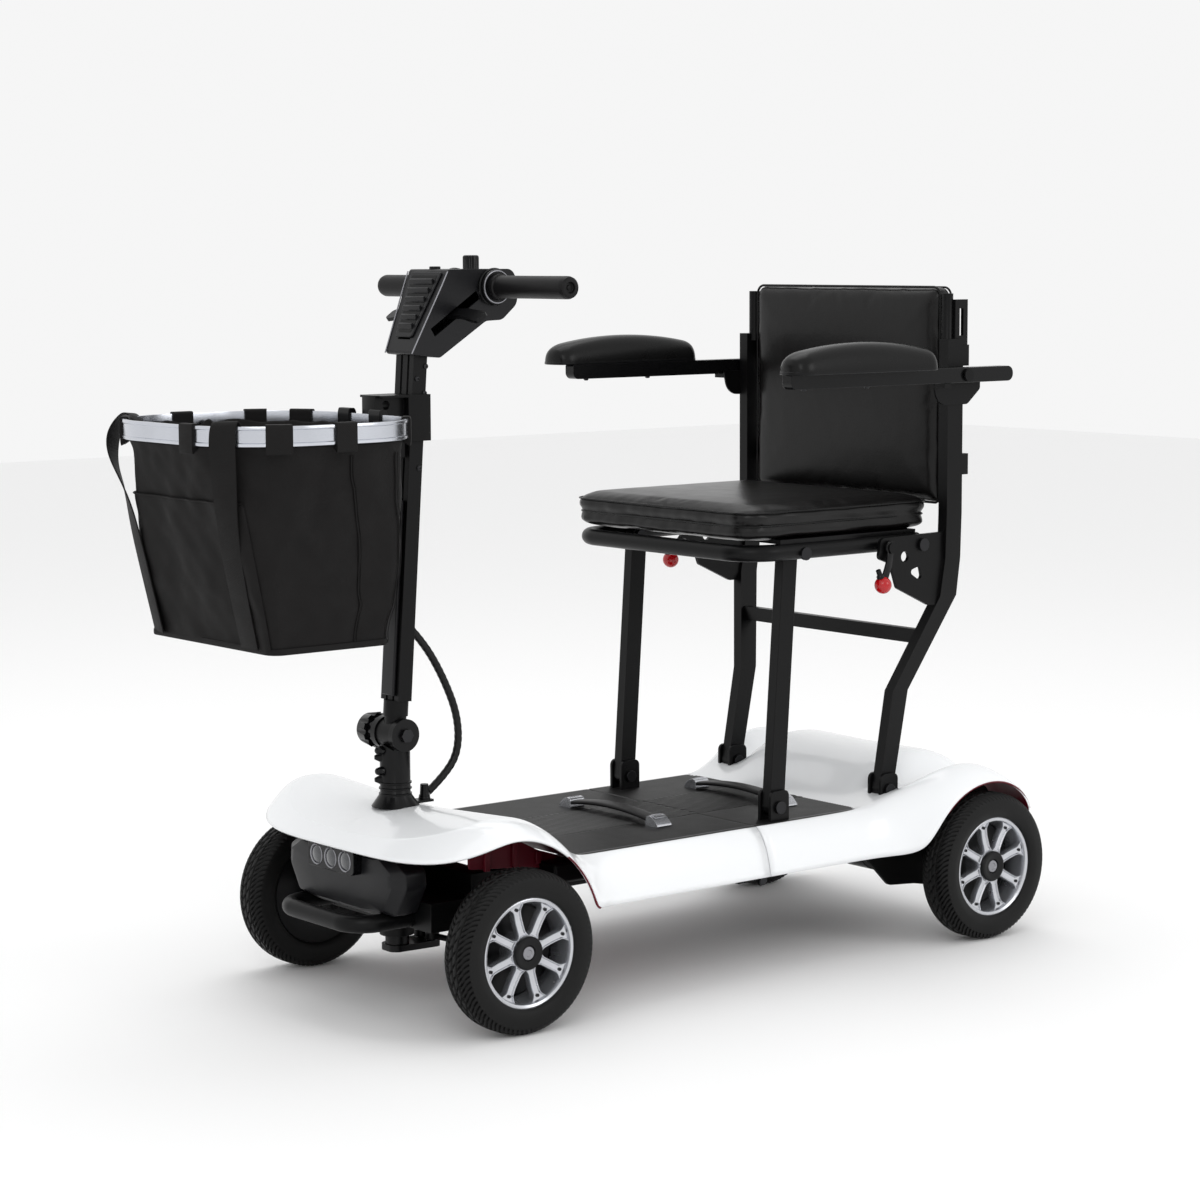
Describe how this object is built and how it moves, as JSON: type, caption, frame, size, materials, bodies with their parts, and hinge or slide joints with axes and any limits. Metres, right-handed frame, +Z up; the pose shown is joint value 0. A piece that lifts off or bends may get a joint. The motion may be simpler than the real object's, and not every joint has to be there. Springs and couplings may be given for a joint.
{
  "type": "mobility scooter",
  "caption": "Folding four-wheeled mobility scooter with hinged deck, folding seat and armrests, tilting tiller and lift-off front basket.",
  "frame": {"origin": "centre of the overall bounding box in plan, on the floor", "axes": "+X to the driver's left, -Y forwards (basket end), +Z up"},
  "size_m": [0.536, 1.236, 0.9226],
  "materials": {
    "cover_white": "gloss moulded white",
    "liner_red": "dark red, satin",
    "frame_black": "satin black powder coat on aluminium",
    "bolt_steel": "dark plated",
    "mat_rubber": "matt black",
    "case_black": "fine grained dark grey",
    "bar_black": "satin black",
    "lens_clear": "clear",
    "latch_red": "black plate with a gloss red ball",
    "basket_alu": "brushed, clear anodised",
    "basket_fabric": "woven black polyester",
    "cushion_black": "black imitation leather over foam",
    "tyre_black": "matt with tread",
    "wheel_silver": "silver with black hub cap"
  },
  "bodies": {
    "rear_chassis": {"rear_frame": "frame_black", "rear_cover": "cover_white", "rear_deck_mat": "mat_rubber", "seat_feet": "frame_black", "seat_foot_bolts": "bolt_steel", "battery_pack": "case_black", "transaxle": "frame_black", "controller": "case_black", "rear_carry_handle": "mat_rubber", "fold_hinge_pins": "bolt_steel"},
    "front_chassis": {"front_frame": "frame_black", "front_cover": "cover_white", "fender_liners": "liner_red", "front_deck_mat": "mat_rubber", "bumper_panel": "case_black", "tube_bumper": "frame_black", "headlight_housing": "case_black", "headlight_lenses": "lens_clear", "front_carry_handle": "mat_rubber"},
    "steering": {"steering_column": "frame_black", "pivot_bolt": "bolt_steel", "cable_harness": "mat_rubber"},
    "lock_knob_body": {"lock_knob": "case_black"},
    "tiller": {"tiller_joint": "frame_black", "tiller_post": "frame_black", "post_plate": "frame_black", "basket_bracket": "frame_black", "console_shell": "case_black", "handlebar": "bar_black", "grips": "mat_rubber"},
    "throttle": {"throttle_lever": "case_black"},
    "speed_dial": {"speed_knob": "case_black"},
    "horn": {"horn_button": "case_black"},
    "basket": {"basket_rim": "basket_alu", "basket_bag": "basket_fabric"},
    "seat_back": {"seat_back_frame": "frame_black", "backrest": "cushion_black"},
    "seat": {"seat_frame": "frame_black", "seat_pivot_bolts": "bolt_steel", "seat_cushion": "cushion_black"},
    "front_leg_pair": {"front_legs": "frame_black"},
    "front_wheel_body_left": {"front_tyre_left": "tyre_black", "front_wheel_left": "wheel_silver"},
    "rear_wheel_body_left": {"rear_tyre_left": "tyre_black", "rear_wheel_left": "wheel_silver"},
    "knuckle_body_left": {"knuckle_left": "frame_black"},
    "tie_rod_body_left": {"tie_rod_left": "frame_black"},
    "armrest_left": {"armrest_tube_left": "frame_black", "armrest_pad_left": "case_black"},
    "latch_left": {"latch_lever_left": "latch_red"},
    "front_wheel_body_right": {"front_tyre_right": "tyre_black", "front_wheel_right": "wheel_silver"},
    "rear_wheel_body_right": {"rear_tyre_right": "tyre_black", "rear_wheel_right": "wheel_silver"},
    "knuckle_body_right": {"knuckle_right": "frame_black"},
    "tie_rod_body_right": {"tie_rod_right": "frame_black"},
    "armrest_right": {"armrest_tube_right": "frame_black", "armrest_pad_right": "case_black"},
    "latch_right": {"latch_lever_right": "latch_red"}
  },
  "joints": [
    {"name": "deck_fold", "type": "hinge", "parent": "rear_chassis", "child": "front_chassis", "pos_m": [0, 0.152, 0.121], "axis": [-1, 0, 0], "range_deg": [-100, 0]},
    {"name": "steer", "type": "hinge", "parent": "front_chassis", "child": "steering", "pos_m": [0, -0.292, 0.2], "axis": [0, 0, 1], "range_deg": [-30, 30]},
    {"name": "knuckle_turn_left", "type": "hinge", "parent": "front_chassis", "child": "knuckle_body_left", "pos_m": [0.185, -0.272, 0.13], "axis": [0, 0, 1], "range_deg": [-30, 30]},
    {"name": "tie_rod_turn_left", "type": "hinge", "parent": "steering", "child": "tie_rod_body_left", "pos_m": [0.012, -0.247, 0.077], "axis": [0, 0, 1], "range_deg": [-30, 30]},
    {"name": "front_wheel_spin_left", "type": "hinge", "parent": "knuckle_body_left", "child": "front_wheel_body_left", "pos_m": [0.227, -0.272, 0.1], "axis": [1, 0, 0], "continuous": true},
    {"name": "rear_wheel_spin_left", "type": "hinge", "parent": "rear_chassis", "child": "rear_wheel_body_left", "pos_m": [0.227, 0.518, 0.1], "axis": [1, 0, 0], "continuous": true},
    {"name": "knuckle_turn_right", "type": "hinge", "parent": "front_chassis", "child": "knuckle_body_right", "pos_m": [-0.185, -0.272, 0.13], "axis": [0, 0, 1], "range_deg": [-30, 30]},
    {"name": "tie_rod_turn_right", "type": "hinge", "parent": "steering", "child": "tie_rod_body_right", "pos_m": [-0.012, -0.247, 0.077], "axis": [0, 0, 1], "range_deg": [-30, 30]},
    {"name": "front_wheel_spin_right", "type": "hinge", "parent": "knuckle_body_right", "child": "front_wheel_body_right", "pos_m": [-0.227, -0.272, 0.1], "axis": [1, 0, 0], "continuous": true},
    {"name": "rear_wheel_spin_right", "type": "hinge", "parent": "rear_chassis", "child": "rear_wheel_body_right", "pos_m": [-0.227, 0.518, 0.1], "axis": [1, 0, 0], "continuous": true},
    {"name": "tiller_fold", "type": "hinge", "parent": "steering", "child": "tiller", "pos_m": [0, -0.292, 0.337], "axis": [-1, 0, 0], "range_deg": [0, 33], "deforming": ["cable_harness"]},
    {"name": "lock_knob_turn", "type": "hinge", "parent": "steering", "child": "lock_knob_body", "pos_m": [0, -0.292, 0.337], "axis": [1, 0, 0], "range_deg": [-180, 180]},
    {"name": "throttle_turn", "type": "hinge", "parent": "tiller", "child": "throttle", "pos_m": [0, -0.217, 0.855], "axis": [0, -0.5733, 0.8194], "range_deg": [-12, 12], "stiffness_Nm_per_rad": 0.6},
    {"name": "speed_dial_turn", "type": "hinge", "parent": "tiller", "child": "speed_dial", "pos_m": [0, -0.168, 0.915], "axis": [0, 0, 1], "range_deg": [0, 270]},
    {"name": "horn_press", "type": "slide", "parent": "tiller", "child": "horn", "axis": [0, 0, 1], "range_m": [-0.0025, 0], "stiffness_N_per_m": 400},
    {"name": "basket_lift", "type": "slide", "parent": "tiller", "child": "basket", "axis": [0, 0, 1], "range_m": [0, 0.04]},
    {"name": "seat_fold", "type": "hinge", "parent": "rear_chassis", "child": "seat_back", "pos_m": [0, 0.398, 0.208], "axis": [-1, 0, 0], "range_deg": [-62, 0]},
    {"name": "front_leg_fold", "type": "hinge", "parent": "rear_chassis", "child": "front_leg_pair", "pos_m": [0, 0.2, 0.208], "axis": [-1, 0, 0], "range_deg": [-62, 0]},
    {"name": "seat_level", "type": "hinge", "parent": "seat_back", "child": "seat", "pos_m": [0, 0.421, 0.541], "axis": [-1, 0, 0], "range_deg": [0, 62]},
    {"name": "armrest_flip_left", "type": "hinge", "parent": "seat_back", "child": "armrest_left", "pos_m": [0.222, 0.475, 0.765], "axis": [1, 0, 0], "range_deg": [-90, 0]},
    {"name": "latch_turn_left", "type": "hinge", "parent": "seat_back", "child": "latch_left", "pos_m": [0.207, 0.359, 0.541], "axis": [-1, 0, 0], "range_deg": [0, 25], "stiffness_Nm_per_rad": 0.8},
    {"name": "armrest_flip_right", "type": "hinge", "parent": "seat_back", "child": "armrest_right", "pos_m": [-0.222, 0.475, 0.765], "axis": [1, 0, 0], "range_deg": [-90, 0]},
    {"name": "latch_turn_right", "type": "hinge", "parent": "seat_back", "child": "latch_right", "pos_m": [-0.207, 0.359, 0.541], "axis": [-1, 0, 0], "range_deg": [0, 25], "stiffness_Nm_per_rad": 0.8}
  ],
  "couplings": [
    {"joint": "knuckle_turn_left", "follows": "steer", "ratio": 1},
    {"joint": "tie_rod_turn_left", "follows": "steer", "ratio": -1},
    {"joint": "knuckle_turn_right", "follows": "steer", "ratio": 1},
    {"joint": "tie_rod_turn_right", "follows": "steer", "ratio": -1},
    {"joint": "front_leg_fold", "follows": "seat_fold", "ratio": 1},
    {"joint": "seat_level", "follows": "seat_fold", "ratio": -1}
  ]
}
